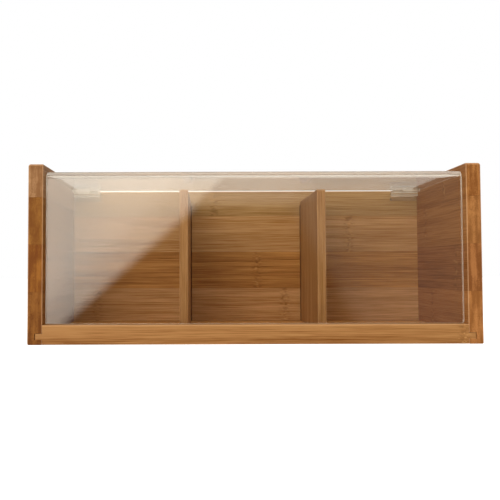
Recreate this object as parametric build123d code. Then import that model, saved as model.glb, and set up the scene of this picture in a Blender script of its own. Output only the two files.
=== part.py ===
"""A bamboo table-top tea box: three fixed bays behind one bent clear sheet that flips up on two small hinges.

Millimetres. The origin is on the table under the middle of the box. +X is to the right seen from the
front, +Y runs to the back and +Z is up. The cover is modelled closed.
"""
import os

from build123d import *

# ---- The box -------------------------------------------------------------------------------------
box_width = 300.0              # over both side panels
box_depth = 110.0              # front edges to the back panel's outer face
box_height = 119.5             # side panels
side_thickness = 10.0
back_thickness = 10.0
side_front_top_radius = 2.0    # the side panels' front and rear top corners, seen from the side
outer_round = 1.4              # rounding on the outer arrises of the side panels
inner_chamfer = 0.5            # small chamfer on the inner arrises of every bamboo piece

# Panels are sawn from edge-glued blanks. The lowest board of a blank is wider and the top one narrower.
boards_per_panel = 4
side_lowest_extra = 3.2
side_top_trim = 9.1
back_lowest_extra = 4.8
back_top_trim = 9.15

# ---- Floor and its grooves -----------------------------------------------------------------------
floor_thickness = 4.0
floor_height = 3.3             # underside of the floor above the table
side_groove_depth = 5.0
back_groove_depth = 5.0
rail_groove_depth = 4.0
groove_play = 0.2              # above the floor and behind its edges
tongue_end_play = 0.5          # between a tongue's end and the bottom of its groove

# ---- Front rail ----------------------------------------------------------------------------------
rail_height = 12.9
rail_depth = 10.0
rail_round = 1.0               # rounding on the rail's front arrises

# ---- Dividers ------------------------------------------------------------------------------------
bays = 3
divider_thickness = 6.0
divider_setback = 21.0         # front edge behind the front of the box
divider_below_sheet = 7.6      # top edge below the cover's top sheet
divider_corner_radius = 2.0
divider_round = 0.8            # rounding on the long arrises of a divider
housing_depth = 2.0            # the routed housing in the back panel that holds a divider's rear edge
housing_side_play = 0.6
housing_below_divider = 1.2    # top of the housing's round end below the top of the divider

# ---- Bent cover ----------------------------------------------------------------------------------
sheet_thickness = 3.0
sheet_below_sides = 4.15       # top of the sheet below the side panels' tops
flap_setback = 5.0             # outer face of the flap behind the front of the box
flap_rest_gap = 0.3            # under the flap, above the rail
cover_side_gap = 0.7           # between the sheet and each side panel
bend_inner_radius = 2.0
sheet_corner_radius = 1.5
sheet_edge_break = 0.3         # flame-polished edges

# ---- Hinges --------------------------------------------------------------------------------------
hinge_width = 21.0
hinge_side_gap = 0.7           # from the side panel
wall_knuckle_length = 13.0     # the outer part of the width, the cover's knuckle takes the rest
knuckle_gap = 0.3              # between the two knuckles
knuckle_radius = 2.3
pin_radius = 0.8
pin_fixed_fit = 0.01           # radial, in the wall leaf
pin_running_fit = 0.05         # radial, in the cover leaf
pin_end_inset = 0.3            # pin ends inside the knuckle ends
wall_leaf_thickness = 1.6
cover_leaf_thickness = 1.2
leaf_corner_radius = 1.5
leaf_clearance = 0.35          # between one leaf and the other leaf's knuckle
axis_below_sheet = 2.1
axis_before_back = 3.35
sheet_edge_before_axis = 5.0
back_above_sheet = 0.5         # top of the back panel above the sheet's underside, clear of its rear edge
wall_leaf_drop = 5.5           # below the hinge axis
cover_leaf_reach = 8.5         # in front of the hinge axis

# ---- Working allowances --------------------------------------------------------------------------
cut_past = 1.0                 # how far a cut runs past the faces it opens
same_place = 0.01              # edges this near a plane lie in it

# ---- Worked out from the sizes above -------------------------------------------------------------
front_y = -box_depth / 2
rear_y = box_depth / 2
back_face_y = rear_y - back_thickness
inner_half = box_width / 2 - side_thickness
floor_top = floor_height + floor_thickness
tongue_length = side_groove_depth - tongue_end_play
sheet_top = box_height - sheet_below_sides
sheet_under = sheet_top - sheet_thickness
back_height = sheet_under + back_above_sheet
axis_y = back_face_y - axis_before_back
axis_z = sheet_under - axis_below_sheet
sheet_rear_y = axis_y - sheet_edge_before_axis
cover_half_width = inner_half - cover_side_gap
hinge_outer_x = inner_half - hinge_side_gap
hinge_inner_x = hinge_outer_x - hinge_width
knuckle_split_x = hinge_outer_x - wall_knuckle_length
divider_top = sheet_under - divider_below_sheet
housing_half = divider_thickness / 2 + housing_side_play
housing_round_z = divider_top - housing_below_divider - housing_half
bay_width = (2 * inner_half - (bays - 1) * divider_thickness) / bays
divider_centres = [
    -inner_half + (i + 1) * bay_width + (i + 0.5) * divider_thickness for i in range(bays - 1)
]


def block(low, high):
    """A box from its lowest to its highest corner."""
    size = [h - l for l, h in zip(low, high)]
    return Pos(*low) * Box(*size, align=(Align.MIN, Align.MIN, Align.MIN))


def board_joints(height, lowest_extra, top_trim):
    """Heights of the glue lines in a panel sawn from an edge-glued blank, with its two outer edges."""
    pitch = (height + top_trim - lowest_extra) / boards_per_panel
    lines = [lowest_extra + pitch * (i + 1) for i in range(boards_per_panel - 1)]
    return [0.0, *lines, height]


def into_boards(panel, joints):
    """Saws a panel along its glue lines into separate boards, lowest first."""
    reach = box_width + box_depth
    boards = []
    for low, high in zip(joints, joints[1:]):
        slab = block((-reach, -reach, low), (reach, reach, high))
        boards.append(panel & slab)
    return boards


def edges_at(shape, axis, position, along=None):
    """Edges that lie in the plane at this position on the axis, or only those that run along another axis."""
    edges = shape.edges().filter_by_position(axis, position - same_place, position + same_place)
    return edges.filter_by(along) if along else edges


def side_panel():
    """The right side panel: rounded outside, chamfered inside, with the floor groove open at both ends."""
    outline = Plane.YZ * Pos(0, box_height / 2) * Rectangle(box_depth, box_height)
    top_corners = outline.vertices().group_by(Axis.Z)[-1]
    outline = fillet(top_corners, side_front_top_radius)
    panel = Pos(inner_half, 0, 0) * extrude(outline, side_thickness, dir=(1, 0, 0))
    panel = fillet(edges_at(panel, Axis.X, inner_half + side_thickness), outer_round)
    panel = chamfer(edges_at(panel, Axis.X, inner_half), inner_chamfer)
    groove = block(
        (inner_half - cut_past, front_y - cut_past, floor_height),
        (inner_half + side_groove_depth, rear_y + cut_past, floor_top + groove_play),
    )
    return panel - groove


def tongues(low_y, high_y):
    """A strip as thick as the floor that runs into both side grooves."""
    reach = inner_half + tongue_length
    return block((-reach, low_y, floor_height), (reach, high_y, floor_top))


def housing(x):
    """The stopped housing for a divider, as wide as its cutter, which leaves the upper end round."""
    straight = housing_round_z - floor_top
    outline = Pos(x, floor_top + straight / 2) * Rectangle(2 * housing_half, straight)
    outline = outline + Pos(x, housing_round_z) * Circle(housing_half)
    return extrude(Plane.XZ.offset(-back_face_y - housing_depth) * outline, housing_depth + cut_past)


def back_panel():
    """The back panel between the sides: tongued ends, a groove for the floor and a housing per divider."""
    panel = block((-inner_half, back_face_y, 0), (inner_half, rear_y, back_height))
    panel = chamfer(edges_at(panel, Axis.Z, back_height, Axis.X), inner_chamfer)
    panel = panel + tongues(back_face_y, rear_y)
    floor_edge = block(
        (-box_width, back_face_y - cut_past, floor_height),
        (box_width, back_face_y + back_groove_depth, floor_top + groove_play),
    )
    panel = panel - floor_edge
    for x in divider_centres:
        panel = panel - housing(x)
    return panel


def front_rail():
    """The bottom rail, flush with the side panels' front edges, its tongues in their grooves."""
    rail = block((-inner_half, front_y, 0), (inner_half, front_y + rail_depth, rail_height))
    rail = fillet(edges_at(rail, Axis.Y, front_y, Axis.X), rail_round)
    rail = chamfer(edges_at(rail, Axis.Y, front_y + rail_depth, Axis.X), inner_chamfer)
    rail = rail + tongues(front_y, front_y + rail_depth)
    floor_edge = block(
        (-box_width, front_y + rail_depth - rail_groove_depth, floor_height),
        (box_width, front_y + rail_depth + cut_past, floor_top + groove_play),
    )
    return rail - floor_edge


def floor_panel():
    """The thin floor, held in grooves on all four sides."""
    reach = inner_half + tongue_length
    return block(
        (-reach, front_y + rail_depth - rail_groove_depth + groove_play, floor_height),
        (reach, back_face_y + back_groove_depth - groove_play, floor_top),
    )


def divider(x):
    """One divider, standing on the floor. Its rear edge is notched to end below the housing's round end."""
    low_y = front_y + divider_setback
    half = divider_thickness / 2
    length, height = back_face_y - low_y, divider_top - floor_top
    outline = Plane.YZ * Pos(low_y + length / 2, floor_top + height / 2) * Rectangle(length, height)
    front_top = outline.vertices().sort_by(Axis.Y)[:2].sort_by(Axis.Z)[-1]
    outline = fillet(front_top, divider_corner_radius)
    board = Pos(x, 0, 0) * extrude(outline, half, both=True, dir=(1, 0, 0))
    rims = edges_at(board, Axis.X, x - half) + edges_at(board, Axis.X, x + half)
    hidden = edges_at(board, Axis.Z, floor_top) + edges_at(board, Axis.Y, back_face_y)
    board = fillet([edge for edge in rims if edge not in hidden], divider_round)
    rear_edge = block(
        (x - half, back_face_y, floor_top),
        (x + half, back_face_y + housing_depth, housing_round_z),
    )
    return board + rear_edge


def cover():
    """One sheet bent down along its front: the flap closes the front and the rest closes the top."""
    flap_y = front_y + flap_setback + sheet_thickness / 2
    flap_low = rail_height + flap_rest_gap
    sheet_z = sheet_top - sheet_thickness / 2
    middle = FilletPolyline(
        (flap_y, flap_low),
        (flap_y, sheet_z),
        (sheet_rear_y, sheet_z),
        radius=bend_inner_radius + sheet_thickness / 2,
    )
    section = Plane.YZ * trace(middle, sheet_thickness)
    sheet = extrude(section, cover_half_width, both=True, dir=(1, 0, 0))
    flap_corners = edges_at(sheet, Axis.Z, flap_low, Axis.Y)
    rear_corners = edges_at(sheet, Axis.Y, sheet_rear_y, Axis.Z)
    sheet = fillet(flap_corners + rear_corners, sheet_corner_radius)
    rims = [edge for x in (-cover_half_width, cover_half_width) for edge in edges_at(sheet, Axis.X, x)]
    rims = [edge for edge in rims if edge.length > 2 * sheet_thickness or edge.geom_type == GeomType.CIRCLE]
    return fillet(rims, sheet_edge_break)


def round_bar(radius, low_x, high_x):
    """A cylinder about the hinge axis."""
    middle = (low_x + high_x) / 2
    return Pos(middle, axis_y, axis_z) * Rot(0, 90, 0) * Cylinder(radius, high_x - low_x)


def leaf_cut_back():
    """How far a leaf stays from the axis beside the other leaf's knuckle."""
    return knuckle_radius + leaf_clearance


def wall_leaf():
    """The leaf glued to the back panel's face. Its knuckle takes the outer part of the width."""
    low = (hinge_inner_x, back_face_y - wall_leaf_thickness, axis_z - wall_leaf_drop)
    plate = block(low, (hinge_outer_x, back_face_y, axis_z))
    plate = fillet(edges_at(plate, Axis.Z, low[2], Axis.Y), leaf_corner_radius)
    relief = block(
        (hinge_inner_x - cut_past, low[1] - cut_past, axis_z - leaf_cut_back()),
        (knuckle_split_x, back_face_y + cut_past, axis_z + cut_past),
    )
    leaf = plate - relief + round_bar(knuckle_radius, knuckle_split_x, hinge_outer_x)
    return leaf - round_bar(pin_radius + pin_fixed_fit, hinge_inner_x - cut_past, hinge_outer_x + cut_past)


def cover_leaf():
    """The leaf glued under the cover's top sheet. Its knuckle takes the inner part of the width."""
    front = axis_y - cover_leaf_reach
    low = (hinge_inner_x, front, sheet_under - cover_leaf_thickness)
    plate = block(low, (hinge_outer_x, axis_y, sheet_under))
    plate = fillet(edges_at(plate, Axis.Y, front, Axis.Z), leaf_corner_radius)
    own_end = knuckle_split_x - knuckle_gap
    relief = block(
        (own_end, axis_y - leaf_cut_back(), axis_z - knuckle_radius),
        (hinge_outer_x + cut_past, axis_y + cut_past, sheet_under + cut_past),
    )
    leaf = plate - relief + round_bar(knuckle_radius, hinge_inner_x, own_end)
    return leaf - round_bar(pin_radius + pin_running_fit, hinge_inner_x - cut_past, hinge_outer_x + cut_past)


def hinge_pin():
    """The pin through both knuckles, held by the wall leaf."""
    return round_bar(pin_radius, hinge_inner_x + pin_end_inset, hinge_outer_x - pin_end_inset)


def both_sides(name, right_piece):
    """A right-hand piece and its mirror image."""
    return {f"right_{name}": right_piece, f"left_{name}": mirror(right_piece, Plane.YZ)}


def all_pieces():
    pieces = {}
    side_boards = into_boards(side_panel(), board_joints(box_height, side_lowest_extra, side_top_trim))
    for number, board in enumerate(side_boards, 1):
        pieces |= both_sides(f"side_board_{number}", board)
    back_boards = into_boards(back_panel(), board_joints(back_height, back_lowest_extra, back_top_trim))
    for number, board in enumerate(back_boards, 1):
        pieces[f"back_board_{number}"] = board
    pieces["floor_panel"] = floor_panel()
    pieces["front_rail"] = front_rail()
    for number, x in enumerate(divider_centres, 1):
        pieces[f"divider_{number}"] = divider(x)
    pieces["clear_cover"] = cover()
    pieces |= both_sides("hinge_wall_leaf", wall_leaf())
    pieces |= both_sides("hinge_cover_leaf", cover_leaf())
    pieces |= both_sides("hinge_pin", hinge_pin())
    return pieces


os.makedirs("parts", exist_ok=True)
for name, piece in all_pieces().items():
    export_step(piece, f"parts/{name}.step")
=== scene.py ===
"""Looks of a bamboo tea box with a bent clear cover: materials, light, floor and camera."""
import math

import bpy
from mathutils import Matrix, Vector


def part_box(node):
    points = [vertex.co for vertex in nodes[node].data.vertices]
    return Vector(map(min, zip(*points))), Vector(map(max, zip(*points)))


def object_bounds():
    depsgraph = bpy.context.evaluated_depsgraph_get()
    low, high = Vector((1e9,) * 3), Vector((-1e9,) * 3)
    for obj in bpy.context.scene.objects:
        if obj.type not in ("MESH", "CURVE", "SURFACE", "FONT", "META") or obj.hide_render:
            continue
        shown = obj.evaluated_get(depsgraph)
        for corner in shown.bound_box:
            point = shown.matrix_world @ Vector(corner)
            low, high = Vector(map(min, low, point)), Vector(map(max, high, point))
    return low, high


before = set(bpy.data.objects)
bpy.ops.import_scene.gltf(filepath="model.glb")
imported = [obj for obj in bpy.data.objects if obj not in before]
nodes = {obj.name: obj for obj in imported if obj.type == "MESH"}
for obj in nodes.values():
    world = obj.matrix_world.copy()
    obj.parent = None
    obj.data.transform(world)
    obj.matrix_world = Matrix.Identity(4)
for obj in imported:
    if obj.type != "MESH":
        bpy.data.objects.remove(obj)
cad_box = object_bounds()

MM = 0.001

# ---- Places taken from the frame -----------------------------------------------------------------
box_low = cad_box[0]
cover_low, cover_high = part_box("clear_cover")


def board_names(stem):
    """Names of a panel's glued boards, lowest first."""
    return sorted(name for name in nodes if name.startswith(stem))


# ---- Small tools ---------------------------------------------------------------------------------
def linear(hex_colour):
    """An sRGB hex colour as linear RGBA."""
    channels = [int(hex_colour[i:i + 2], 16) / 255 for i in (1, 3, 5)]
    straight = [c / 12.92 if c <= 0.04045 else ((c + 0.055) / 1.055) ** 2.4 for c in channels]
    return (*straight, 1.0)


def add(tree, kind, *inputs, **settings):
    """Adds a shader node with its settings and fills its inputs.

    Inputs come in the order of the sockets, or in one dict by name or number. Each is another node,
    a socket, a hex colour or a plain value. A Mix of colours takes its share at socket 0 and its two
    colours at 6 and 7, and gives its colour at output 2.
    """
    node = tree.nodes.new("ShaderNode" + kind)
    for key, value in settings.items():
        setattr(node, key, value)
    filled = inputs[0] if inputs and isinstance(inputs[0], dict) else dict(enumerate(inputs))
    for key, value in filled.items():
        if isinstance(value, bpy.types.Node):
            value = value.outputs[0]
        if isinstance(value, bpy.types.NodeSocket):
            tree.links.new(value, node.inputs[key])
        elif isinstance(value, str):
            node.inputs[key].default_value = linear(value)
        else:
            node.inputs[key].default_value = value
    return node


def new_material(name):
    """An empty node material and its tree."""
    material = bpy.data.materials.new(name)
    material.use_nodes = True
    material.node_tree.nodes.clear()
    return material, material.node_tree


flat_from = 0.97               # a normal this close to one axis counts as flat
round_from = 0.80              # and one this far from every axis counts as fully round


def rounded(tree, normal):
    """1 on rounded edges and round bodies, 0 on flat faces that look along one axis."""
    parts = add(tree, "SeparateXYZ", normal)
    along_x = add(tree, "Math", parts.outputs["X"], operation="ABSOLUTE")
    along_y = add(tree, "Math", parts.outputs["Y"], operation="ABSOLUTE")
    along_z = add(tree, "Math", parts.outputs["Z"], operation="ABSOLUTE")
    level = add(tree, "Math", along_x, along_y, operation="MAXIMUM")
    most = add(tree, "Math", level, along_z, operation="MAXIMUM")
    return add(tree, "MapRange", most, flat_from, round_from)


# ---- Bamboo --------------------------------------------------------------------------------------
# Steamed and carbonised bamboo strips, pressed flat, glued edge to edge, sanded and oiled. The eye
# gets caramel boards that differ in tone, fine straight fibres, a rough dark band where the stalk had
# a joint, darker dotted end grain and a dull sheen.
streak_width = 0.5 * MM        # fibre bundles that lie together
streak_length = 48 * MM
hair_width = 0.25 * MM         # single fibre bundles
hair_length = 16 * MM
cloud_width = 5 * MM           # broad tone changes across a board
cloud_length = 160 * MM
stray_width = 0.4 * MM         # single fibres that stand out darker
stray_length = 38.4 * MM
wander_reach = 1.0 * MM        # how far all fibres wander from straight
wander_width = 25 * MM         # and over what width and length they do
wander_length = 80 * MM
knuckle_length = 3.6 * MM      # half length of the rough band at a stalk joint
curl_length = 3.5 * MM         # swirls in that band
curl_width = 2.4 * MM
curl_reach = 6 * MM            # how far the swirls push the fibres aside
dot_spacing = 0.8 * MM         # fibre bundles on a sawn end, drawn coarse so that they show
layer_width = 3.2 * MM         # paler and denser layers across a sawn end
layer_length = 22.4 * MM
glue_width = 0.3 * MM          # half width of a dark glue line
relief_height = 0.05 * MM      # height of the fibres after sanding
relief_strength = 0.3
hair_rise = -0.8               # dark fibres lie a little lower than the pale ground
dot_dip = 0.6                  # and the sawn bundles are open pores
end_start, end_full = 0.6, 0.9   # how squarely a face must look along the grain to be a sawn end

# How far each part of the grain takes the colour from the pale ground (0) to the dark fibres (1).
ground_depth = 0.42
streak_depth = 2.4
hair_depth = 1.3
cloud_depth = 1.0
stray_depth = 5.0              # a few single fibres stand out darker
stray_start = 0.17             # and this sets how few
end_depth = 0.1                # sawn ends drink more oil
layer_depth = 3.8
layer_middle = 0.47
dot_depth = 1.2
dot_core = 0.75                # darkness in the middle of a dot
dot_fade = 1.9                 # and how fast it fades outwards

edge_wear_and_highlight_colour, edge_wear_and_highlight_share = "#E0B184", 0.32      # rounded edges painted pale: sanding wear and a painted highlight
band_share = 0.15                                  # the whole band at a stalk joint is darker
fleck_colour, fleck_share = "#4B2A0C", 0.3         # dark flecks in it
spark_colour, spark_share = "#D9A768", 0.28        # pale flecks in it
fleck_start, spark_start = 0.07, -0.10             # where in the swirls the flecks lie
housing_shade_colour, housing_shade_share = "#2A1404", 0.8     # painted shade in the dividers' housings
glue_colour, glue_share = "#3E2008", 0.5           # glue lines between boards

# The dividers' housings in the back panel, painted dark as shade: depths behind its front face, and
# the height they reach.
housing_start = 0.15 * MM
housing_end = 6 * MM
housing_top = cover_low.z + 95 * MM

bamboo_ior = 1.5
bamboo_specular = 0.12         # thin oil finish, much duller than varnish
roughness_pale, roughness_dark = 0.40, 0.56


def bamboo(name, along, wide, tone, seed, knuckles=(), glue_lines=(), slope=0.0, housing=None):
    """Bamboo whose fibres run along one axis and whose board face is wide along another.

    tone is a pair of hex colours: the pale ground and the dark fibres. knuckles and glue_lines are
    places in metres along the grain and across the face. slope darkens the board towards its low side,
    in parts of full depth per metre. housing is the range of depths in metres where a groove is dark
    with painted shade.
    """
    material, tree = new_material(name)
    spot = add(tree, "TexCoord")
    place = add(tree, "SeparateXYZ", spot.outputs["Object"])
    facing = add(tree, "SeparateXYZ", spot.outputs["Normal"])
    thick = ({"X", "Y", "Z"} - {along, wide}).pop()
    u, v, w = (place.outputs[axis] for axis in (along, wide, thick))

    def grain(length, width, shift, detail, across):
        """Noise around 0, stretched along the fibres, one cell this long and this wide.

        shift picks another part of the noise for each use.
        """
        cell_u = add(tree, "Math", u, 1 / length, operation="MULTIPLY")
        cell_v = add(tree, "Math", across, 1 / width, operation="MULTIPLY")
        cell_w = add(tree, "Math", w, 1 / width, seed * 7.3 + shift, operation="MULTIPLY_ADD")
        cell = add(tree, "CombineXYZ", cell_u, cell_v, cell_w)
        noise = add(tree, "TexNoise", {"Vector": cell, "Scale": 1.0, "Detail": detail})
        return add(tree, "Math", noise, 0.5, operation="SUBTRACT")

    # The fibres wander a little, and swirl where the stalk had a joint.
    drift = grain(wander_length, wander_width, 3.1, 0.0, v)
    bent = add(tree, "Math", drift, wander_reach, v, operation="MULTIPLY_ADD")
    rough_band = None
    for joint in knuckles:
        offset = add(tree, "Math", u, joint, operation="SUBTRACT")
        away = add(tree, "Math", offset, knuckle_length, operation="DIVIDE")
        squared = add(tree, "Math", away, away, operation="MULTIPLY")
        falling = add(tree, "Math", squared, -1.0, operation="MULTIPLY")
        here = add(tree, "Math", falling, operation="EXPONENT")
        rough_band = here if rough_band is None else add(
            tree, "Math", rough_band, here, operation="MAXIMUM")
    if rough_band is not None:
        curl = grain(curl_length, curl_width, 5.7, 2.0, v)
        swing = add(tree, "Math", curl, rough_band, operation="MULTIPLY")
        bent = add(tree, "Math", swing, curl_reach, bent, operation="MULTIPLY_ADD")

    streaks = grain(streak_length, streak_width, 0.0, 3.0, bent)
    hairs = grain(hair_length, hair_width, 11.0, 2.0, bent)
    clouds = grain(cloud_length, cloud_width, 23.0, 1.0, bent)
    strays = grain(stray_length, stray_width, 41.0, 1.0, bent)
    depth = add(tree, "Math", streaks, streak_depth, ground_depth, operation="MULTIPLY_ADD")
    depth = add(tree, "Math", hairs, hair_depth, depth, operation="MULTIPLY_ADD")
    depth = add(tree, "Math", clouds, cloud_depth, depth, operation="MULTIPLY_ADD")
    strays = add(tree, "Math", strays, stray_start, operation="SUBTRACT")
    strays = add(tree, "Math", strays, stray_depth, operation="MULTIPLY", use_clamp=True)
    depth = add(tree, "Math", depth, strays, operation="ADD")
    if slope:
        depth = add(tree, "Math", v, -slope, depth, operation="MULTIPLY_ADD")

    # Sawn ends are darker and show layers and the fibre bundles as dots.
    endwise = add(tree, "Math", facing.outputs[along], operation="ABSOLUTE")
    end_face = add(tree, "MapRange", endwise, end_start, end_full)
    dot_u = add(tree, "Math", v, 1 / dot_spacing, operation="MULTIPLY")
    dot_v = add(tree, "Math", w, 1 / dot_spacing, operation="MULTIPLY")
    dot_at = add(tree, "CombineXYZ", dot_u, dot_v, seed)
    bundles = add(tree, "TexVoronoi", {"Vector": dot_at, "Scale": 1.0})
    faded = add(tree, "Math", bundles.outputs["Distance"], dot_fade, operation="MULTIPLY")
    dots = add(tree, "Math", dot_core, faded, operation="SUBTRACT", use_clamp=True)
    dots = add(tree, "Math", dots, end_face, operation="MULTIPLY")
    layer_u = add(tree, "Math", w, 1 / layer_width, operation="MULTIPLY")
    layer_v = add(tree, "Math", v, 1 / layer_length, operation="MULTIPLY")
    layer_at = add(tree, "CombineXYZ", layer_u, layer_v, seed * 3.7)
    layers = add(tree, "TexNoise", {"Vector": layer_at, "Scale": 1.0, "Detail": 2.0})
    layers = add(tree, "Math", layers, layer_middle, operation="SUBTRACT")
    layers = add(tree, "Math", layers, end_face, operation="MULTIPLY")
    depth = add(tree, "Math", layers, layer_depth, depth, operation="MULTIPLY_ADD")
    depth = add(tree, "Math", dots, dot_depth, depth, operation="MULTIPLY_ADD")
    depth = add(tree, "Math", end_face, end_depth, depth, operation="MULTIPLY_ADD", use_clamp=True)

    pale, dark = tone
    colour = add(tree, "Mix", {0: depth, 6: pale, 7: dark}, data_type="RGBA").outputs[2]
    # Rounded edges are painted paler: partly sanding wear, partly a painted highlight.
    edges = rounded(tree, spot.outputs["Normal"])
    worn_and_lit_edges = add(tree, "Math", edges, edge_wear_and_highlight_share, operation="MULTIPLY")
    colour = add(tree, "Mix", {0: worn_and_lit_edges, 6: colour, 7: edge_wear_and_highlight_colour}, data_type="RGBA").outputs[2]
    if rough_band is not None:
        band = add(tree, "Math", rough_band, band_share, operation="MULTIPLY")
        colour = add(tree, "Mix", {0: band, 6: colour, 7: dark}, data_type="RGBA").outputs[2]
        flecks = add(tree, "Math", curl, fleck_start, operation="GREATER_THAN")
        flecks = add(tree, "Math", flecks, rough_band, operation="MULTIPLY")
        flecks = add(tree, "Math", flecks, fleck_share, operation="MULTIPLY")
        colour = add(tree, "Mix", {0: flecks, 6: colour, 7: fleck_colour},
                     data_type="RGBA").outputs[2]
        sparks = add(tree, "Math", curl, spark_start, operation="LESS_THAN")
        sparks = add(tree, "Math", sparks, rough_band, operation="MULTIPLY")
        sparks = add(tree, "Math", sparks, spark_share, operation="MULTIPLY")
        colour = add(tree, "Mix", {0: sparks, 6: colour, 7: spark_colour},
                     data_type="RGBA").outputs[2]
    # Painted shade: the grooves where the dividers sit are painted dark.
    if housing is not None:
        behind = add(tree, "Math", w, housing[0], operation="GREATER_THAN")
        before = add(tree, "Math", w, housing[1], operation="LESS_THAN")
        below = add(tree, "Math", v, housing_top, operation="LESS_THAN")
        inside = add(tree, "Math", behind, before, operation="MULTIPLY")
        inside = add(tree, "Math", inside, below, operation="MULTIPLY")
        inside = add(tree, "Math", inside, housing_shade_share, operation="MULTIPLY")
        colour = add(tree, "Mix", {0: inside, 6: colour, 7: housing_shade_colour},
                     data_type="RGBA").outputs[2]
    glue = None
    for line in glue_lines:
        offset = add(tree, "Math", v, line, operation="SUBTRACT")
        across = add(tree, "Math", offset, operation="ABSOLUTE")
        away = add(tree, "Math", across, glue_width, operation="DIVIDE")
        here = add(tree, "Math", 1.0, away, operation="SUBTRACT", use_clamp=True)
        glue = here if glue is None else add(tree, "Math", glue, here, operation="MAXIMUM")
    if glue is not None:
        stain = add(tree, "Math", glue, glue_share, operation="MULTIPLY")
        colour = add(tree, "Mix", {0: stain, 6: colour, 7: glue_colour},
                     data_type="RGBA").outputs[2]

    fibres = add(tree, "Math", hairs, hair_rise, operation="MULTIPLY")
    pores = add(tree, "Math", dots, dot_dip, operation="MULTIPLY")
    height = add(tree, "Math", fibres, pores, operation="SUBTRACT")
    if glue is not None:
        height = add(tree, "Math", height, glue, operation="SUBTRACT")
    relief = add(tree, "Bump", {
        "Height": height, "Strength": relief_strength, "Distance": relief_height})
    roughness = add(tree, "MapRange", {
        "Value": depth, "To Min": roughness_pale, "To Max": roughness_dark})
    surface = add(tree, "BsdfPrincipled", {
        "Base Color": colour, "Roughness": roughness, "Normal": relief,
        "IOR": bamboo_ior, "Specular IOR Level": bamboo_specular})
    add(tree, "OutputMaterial", surface)
    return material


# ---- Clear plastics ------------------------------------------------------------------------------
smudge_spacing = 26.3 * MM     # finger smudges that dull the gloss a little
roll_spacing = 71.4 * MM       # slow waves left in the sheet by heating
smudge_low, smudge_high = 0.45, 0.75
milk_colour = "#EEE3D6"        # what scatters light in sawn, bent or moulded plastic; also a painted highlight on the bend and knuckles
through_colour = "#F4F4F1"     # what is left of light that passes straight through
trapped_gain = 0.65            # share let straight out for each mirroring inside the sheet
trapped_start = -0.45          # less this, so that the first mirroring still shows


def clear_plastic(name, tint, ior, rough_low, rough_high, wave, milk):
    """Clear solid plastic. Lamps and soft light pass straight through, so what it covers stays lit.

    milk is a function that adds nodes to the tree and returns the share that scatters light.
    """
    material, tree = new_material(name)
    place = add(tree, "TexCoord").outputs["Object"]
    smudges = add(tree, "TexNoise", {"Vector": place, "Scale": 1 / smudge_spacing, "Detail": 3.0})
    roughness = add(tree, "MapRange", smudges, smudge_low, smudge_high, rough_low, rough_high)
    rolls = add(tree, "TexNoise", {"Vector": place, "Scale": 1 / roll_spacing, "Detail": 0.0})
    ripple = add(tree, "Bump", {"Height": rolls, "Strength": 1.0, "Distance": wave})
    glass = add(tree, "BsdfPrincipled", {
        "Base Color": tint, "Roughness": roughness, "Normal": ripple,
        "IOR": ior, "Transmission Weight": 1.0})
    matt = add(tree, "BsdfDiffuse", {"Color": milk_colour})
    glowing = add(tree, "BsdfTranslucent", {"Color": milk_colour})
    milky = add(tree, "MixShader", 0.5, matt, glowing)
    body = add(tree, "MixShader", milk(tree), glass, milky)

    light_path = add(tree, "LightPath")
    passes = add(tree, "Math", light_path.outputs["Is Shadow Ray"],
                 light_path.outputs["Is Diffuse Ray"], operation="MAXIMUM")
    # Light caught between the two faces leaves the sheet again after one or two mirrorings.
    trapped = add(tree, "Math", light_path.outputs["Glossy Depth"], trapped_gain, trapped_start,
                  operation="MULTIPLY_ADD", use_clamp=True)
    passes = add(tree, "Math", passes, trapped, operation="MAXIMUM")
    through = add(tree, "BsdfTransparent", {"Color": through_colour})
    add(tree, "OutputMaterial", add(tree, "MixShader", passes, body, through))
    return material


facing_limit = 0.6             # a face looks along an axis when its normal has more than this of it
cut_milk = 0.5                 # sawn edges are milky
bend_haze_and_highlight = 0.5                # the bend is hazy from the heat, and painted pale as a highlight
flat_milk = 0.10               # moulded leaves are nearly clear
knuckle_milk_and_highlight = 0.3               # their round knuckles are painted milkier by this much, as a painted highlight


def milky_edges(tree):
    """Milky on the sawn edges: sides, rear and low one. On the bend, haze and a painted highlight."""
    spot = add(tree, "TexCoord")
    facing = add(tree, "SeparateXYZ", spot.outputs["Normal"])
    place = add(tree, "SeparateXYZ", spot.outputs["Object"])
    sideways = add(tree, "Math", facing.outputs["X"], operation="ABSOLUTE")
    side_edge = add(tree, "Math", sideways, facing_limit, operation="GREATER_THAN")
    rear_face = add(tree, "Math", facing.outputs["Y"], facing_limit, operation="GREATER_THAN")
    rear_half = add(tree, "Math", place.outputs["Y"], 0.0, operation="GREATER_THAN")
    rear_edge = add(tree, "Math", rear_face, rear_half, operation="MULTIPLY")
    under_face = add(tree, "Math", facing.outputs["Z"], -facing_limit, operation="LESS_THAN")
    cover_middle = (cover_low.z + cover_high.z) / 2
    low_half = add(tree, "Math", place.outputs["Z"], cover_middle, operation="LESS_THAN")
    low_edge = add(tree, "Math", under_face, low_half, operation="MULTIPLY")
    cut = add(tree, "Math", side_edge, rear_edge, operation="MAXIMUM")
    cut = add(tree, "Math", cut, low_edge, operation="MAXIMUM")
    cut = add(tree, "Math", cut, cut_milk, operation="MULTIPLY")
    # The bend is painted milky pale: heat haze and a painted highlight.
    bend = add(tree, "Math", rounded(tree, spot.outputs["Normal"]), bend_haze_and_highlight, operation="MULTIPLY")
    return add(tree, "Math", cut, bend, operation="MAXIMUM")


def milky_and_highlit_rounds(tree):
    """Paler on the round knuckles than on the flat leaves: a painted highlight on them."""
    # Painted highlight: the knuckles are painted milkier and paler than the leaves.
    rounds = rounded(tree, add(tree, "TexCoord").outputs["Normal"])
    return add(tree, "Math", rounds, knuckle_milk_and_highlight, flat_milk, operation="MULTIPLY_ADD")


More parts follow.
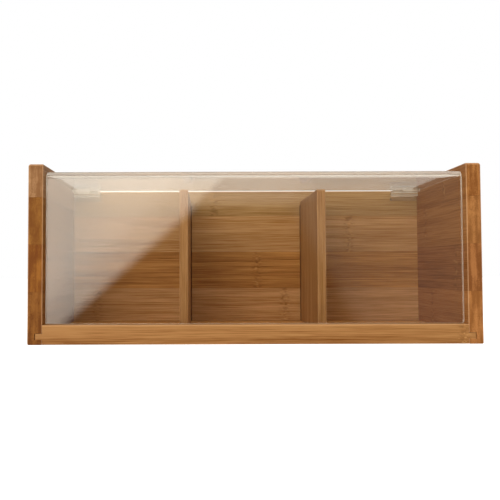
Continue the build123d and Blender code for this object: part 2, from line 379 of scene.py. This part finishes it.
# ---- Finishes on the pieces ----------------------------------------------------------------------
def dress(node_name, material):
    """Gives a CAD piece its finish."""
    mesh = nodes[node_name].data
    mesh.materials.clear()
    mesh.materials.append(material)
    mesh.polygons.foreach_set("material_index", [0] * len(mesh.polygons))


# Board tones are the pale ground and the dark fibres, lowest board first. Stalk joints are in mm.
side_boards = {
    "left": [
        (("#804F1C", "#60340D"), -22),
        (("#895419", "#67370D"), 31),
        (("#895920", "#693C11"), -5),
        (("#9D744D", "#78502D"), 18),
    ],
    "right": [
        (("#A66E3B", "#804E22"), 12),
        (("#986234", "#72421B"), -34),
        (("#A16C3A", "#7B4C22"), 26),
        (("#9A6532", "#75441A"), -14),
    ],
}
first_seed = {"left": 2.0, "right": 7.0}
for side, boards in side_boards.items():
    for index, name in enumerate(board_names(f"{side}_side_board_")):
        tone, knuckle = boards[index]
        joints = [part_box(name)[0].z] if index else []
        dress(name, bamboo(f"carbonised_bamboo_{name}", "Y", "Z", tone, first_seed[side] + index,
                           knuckles=[knuckle * MM], glue_lines=joints))

back_boards = [
    (("#CD9E6C", "#946534"), (-121, 31)),
    (("#C0894C", "#7E4F1F"), (9,)),
    (("#C59966", "#946330"), (84,)),
    (("#B49060", "#8B6333"), (-26,)),
]
for index, name in enumerate(board_names("back_board_")):
    tone, knuckles = back_boards[index]
    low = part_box(name)[0]
    joints = [low.z] if index else []
    dress(name, bamboo(f"carbonised_bamboo_{name}", "X", "Z", tone, 14.0 + index,
                       knuckles=[place * MM for place in knuckles], glue_lines=joints,
                       housing=(low.y + housing_start, low.y + housing_end)))

dress("floor_panel", bamboo("carbonised_bamboo_floor", "X", "Y", ("#D9A05C", "#A2672C"), 21.0,
                            knuckles=[-60 * MM, 85 * MM], glue_lines=[-20 * MM, 8 * MM]))
dress("front_rail", bamboo("carbonised_bamboo_rail", "X", "Z", ("#A07242", "#6E3E0F"), 24.0,
                           knuckles=[137 * MM], slope=28.0))
for index, name in enumerate(board_names("divider_")):
    dress(name, bamboo(f"carbonised_bamboo_{name}", "Z", "Y", ("#A87D50", "#7D5024"), 27.0 + index))

# Cast acrylic, heat-bent: clear with a faint warm cast, and a mirror gloss at low angles.
acrylic = clear_plastic("cast_acrylic", "#F8F3EC", ior=1.49, rough_low=0.0, rough_high=0.02,
                        wave=0.01 * MM, milk=milky_edges)
dress("clear_cover", acrylic)

# Moulded polycarbonate: clear, with its small round knuckles painted milky pale as a painted
# highlight.
polycarbonate = clear_plastic("moulded_polycarbonate", "#F6EEE3", ior=1.585, rough_low=0.02,
                              rough_high=0.08, wave=0.03 * MM, milk=milky_and_highlit_rounds)
for side in ("left", "right"):
    for piece in ("wall_leaf", "cover_leaf", "pin"):
        dress(f"{side}_hinge_{piece}", polycarbonate)


# ---- Floor ---------------------------------------------------------------------------------------
floor_reach = 3.0
paper_cloud_spacing = 16.7 * MM  # faint unevenness of the paper
paper_lift = 0.6               # added for the camera alone: white when seen straight, and a
                               # little greyer when seen through plastic


def white_paper():
    """Uncoated paper: matt, even and white. It keeps the box's shadow, and no gloss mirrors it."""
    material, tree = new_material("white_paper_floor")
    light_path = add(tree, "LightPath")
    place = add(tree, "TexCoord").outputs["Object"]
    clouds = add(tree, "TexNoise", {
        "Vector": place, "Scale": 1 / paper_cloud_spacing, "Detail": 2.0})
    tone = add(tree, "Mix", {0: clouds, 6: "#EDEDED", 7: "#F4F4F4"}, data_type="RGBA")
    matt = add(tree, "BsdfDiffuse", {"Color": tone.outputs[2]})
    lift = add(tree, "Math", light_path.outputs["Is Camera Ray"], paper_lift, operation="MULTIPLY")
    paper = add(tree, "AddShader", matt, add(tree, "Emission", {"Strength": lift}))
    mirrored = add(tree, "Math", light_path.outputs["Glossy Depth"], 0.5, operation="GREATER_THAN")
    unseen = add(tree, "BsdfTransparent")
    add(tree, "OutputMaterial", add(tree, "MixShader", mirrored, paper, unseen))
    return material


floor_mesh = bpy.data.meshes.new("floor")
floor_corners = [(-floor_reach, -floor_reach, 0), (floor_reach, -floor_reach, 0),
                 (floor_reach, floor_reach, 0), (-floor_reach, floor_reach, 0)]
floor_mesh.from_pydata(floor_corners, [], [(0, 1, 2, 3)])
floor_mesh.materials.append(white_paper())
floor = bpy.data.objects.new("floor", floor_mesh)
bpy.context.scene.collection.objects.link(floor)

# ---- Surroundings: strengths where 1 is white ----------------------------------------------------
soft_level = 0.49                # even light on matt surfaces, to which the room adds a little
front_dim = 0.03                 # the mirrored room in front of the box
back_pale = 0.7                  # and behind and above it
left_glow_edge = 3.4             # the bright side of the room on the left, near its edge
left_glow_deep = 5.1             # and well inside it
left_glow_overhead = 0.2         # share of that glow that reaches overhead
high_glow = 1.35                 # a paler strip high up in front
high_glow_right = 0.3            # share of that strip on the right
right_glow_level = 0.4           # a faint glow on the right
mirrored_colour = "#FFF8EA"
sheen_lean = math.radians(41.7)  # how the edge of the bright side leans
sheen_reach = 0.084              # where that edge lies, as a slope seen from the box
right_lean = 0.55                # how the edge of the right glow leans

# Where each part of the room starts and where it is full. All but the first and the last are slopes.
back_from = (-0.55, 0.2)
left_edge_from = (-0.008, 0.016)
left_deep_from = (0.0, 0.08)
overhead_from = (0.2, 0.45)
high_from = (0.092, 0.116)
high_right_from = (0.12, 0.19)
right_from = (0.17, 0.21)
front_from = (-0.5, -0.7)


def studio_world():
    """White behind everything seen straight or through plastic.

    Mirrored rays see a room instead: pale behind and above the box, dim in front of it, with a bright
    side on the left, a paler strip high up and a faint glow on the right. The flap mirrors these as
    its soft pale sheen. The room also gives about an eighth of the light on the rail and on the front
    edges of the sides, so a change to the sheen changes their level.
    """
    world = bpy.data.worlds.new("studio")
    bpy.context.scene.world = world
    world.use_nodes = True
    tree = world.node_tree
    tree.nodes.clear()
    light_path = add(tree, "LightPath")
    direction = add(tree, "SeparateXYZ", add(tree, "TexCoord").outputs["Generated"])
    x, y, z = (direction.outputs[axis] for axis in "XYZ")
    soft = {"interpolation_type": "SMOOTHSTEP"}

    rise = add(tree, "Math", z, 1.6, y, operation="MULTIPLY_ADD")
    room = add(tree, "MapRange", rise, *back_from, front_dim, back_pale, **soft)

    # Slopes sideways and upwards on the side in front of the box.
    forward = add(tree, "Math", y, -1.0, operation="MULTIPLY")
    forward = add(tree, "Math", forward, 0.1, operation="MAXIMUM")
    aside = add(tree, "Math", x, forward, operation="DIVIDE")
    height = add(tree, "Math", z, forward, operation="DIVIDE")

    into = add(tree, "Math", aside, -math.sin(sheen_lean), -sheen_reach, operation="MULTIPLY_ADD")
    into = add(tree, "Math", height, math.cos(sheen_lean), into, operation="MULTIPLY_ADD")
    left_edge = add(tree, "MapRange", into, *left_edge_from, **soft)
    left_level = add(tree, "MapRange", into, *left_deep_from, left_glow_edge, left_glow_deep, **soft)
    overhead_fade = add(tree, "MapRange", height, *overhead_from, 1.0, left_glow_overhead, **soft)
    left_glow = add(tree, "Math", left_edge, left_level, operation="MULTIPLY")
    left_glow = add(tree, "Math", left_glow, overhead_fade, operation="MULTIPLY")

    high_level = add(tree, "MapRange", height, *high_from, 0.0, high_glow, **soft)
    high_fade = add(tree, "MapRange", aside, *high_right_from, 1.0, high_glow_right, **soft)
    high_strip = add(tree, "Math", high_level, high_fade, operation="MULTIPLY")

    right_edge = add(tree, "Math", height, right_lean, aside, operation="MULTIPLY_ADD")
    right_glow = add(tree, "MapRange", right_edge, *right_from, 0.0, right_glow_level, **soft)

    sheen = add(tree, "Math", left_glow, high_strip, operation="MAXIMUM")
    sheen = add(tree, "Math", sheen, right_glow, operation="MAXIMUM")
    in_front = add(tree, "MapRange", y, *front_from, **soft)
    sheen = add(tree, "Math", sheen, in_front, operation="MULTIPLY")
    room = add(tree, "Math", room, sheen, operation="MAXIMUM")

    straight = add(tree, "Math", light_path.outputs["Glossy Depth"], 0.5, operation="LESS_THAN")
    through = light_path.outputs["Is Transmission Ray"]
    seen = add(tree, "Math", through, straight, operation="MULTIPLY")
    seen = add(tree, "Math", light_path.outputs["Is Camera Ray"], seen, operation="MAXIMUM")
    scattered = light_path.outputs["Is Diffuse Ray"]
    plain = add(tree, "Math", seen, scattered, operation="MAXIMUM")
    rest = add(tree, "Math", 1.0, plain, operation="SUBTRACT")
    strength = add(tree, "Math", room, rest, operation="MULTIPLY")
    strength = add(tree, "Math", strength, seen, operation="ADD")
    strength = add(tree, "Math", scattered, soft_level, strength, operation="MULTIPLY_ADD")
    colour = add(tree, "Mix", {0: plain, 6: mirrored_colour, 7: "#FFFFFF"}, data_type="RGBA")
    add(tree, "OutputWorld", add(tree, "Background", colour.outputs[2], strength))


studio_world()


# ---- Light ---------------------------------------------------------------------------------------
def softbox(name, place, aim, width, height, radiance):
    """A rectangular softbox. Its power follows from the brightness of its face.

    Gloss and clear plastic don't mirror it: they see the room.
    """
    lamp = bpy.data.lights.new(name, "AREA")
    lamp.shape = "RECTANGLE"
    lamp.size = width
    lamp.size_y = height
    lamp.energy = radiance * math.pi * width * height
    holder = bpy.data.objects.new(name, lamp)
    holder.location = place
    holder.rotation_euler = (Vector(aim) - Vector(place)).to_track_quat("-Z", "Y").to_euler()
    holder.visible_camera = False
    holder.visible_glossy = False
    holder.visible_transmission = False
    bpy.context.scene.collection.objects.link(holder)


box_middle = (0, 0, 0.06)
softbox("overhead", (0.0, -0.25, 0.95), box_middle, width=1.1, height=0.8, radiance=1.25)
softbox("left_key", (-0.50, -0.82, 0.35), box_middle, width=0.7, height=0.7, radiance=3.2)
softbox("right_fill", (0.80, -0.60, 0.40), box_middle, width=0.6, height=0.6, radiance=2.5)

# ---- Camera: a little left of the box's middle and below it, tipped up a little -------------------
frame_pixels = 500
sight_point = (207.45, 244.75)   # where the lens axis meets the photo, in photo pixels
focal_pixels = 631.5
sensor_width = 36
front_distance = 416.0 * MM      # from the lens to the front of the box
camera_height = 49.2 * MM
camera_aside = -31.3 * MM
tip_up = math.radians(2.24)
camera_roll = math.radians(-0.18)

camera_data = bpy.data.cameras.new("camera")
camera_data.sensor_width = sensor_width
camera_data.lens = sensor_width * focal_pixels / frame_pixels
camera_data.shift_x = (frame_pixels / 2 - sight_point[0]) / frame_pixels
camera_data.shift_y = (sight_point[1] - frame_pixels / 2) / frame_pixels
camera = bpy.data.objects.new("camera", camera_data)
camera.location = (camera_aside, box_low.y - front_distance, camera_height)
camera.rotation_euler = (math.radians(90) + tip_up, 0, 0)
camera.rotation_euler.rotate_axis("Z", camera_roll)
bpy.context.scene.collection.objects.link(camera)
bpy.context.scene.camera = camera
bpy.context.scene.view_settings.view_transform = "Standard"
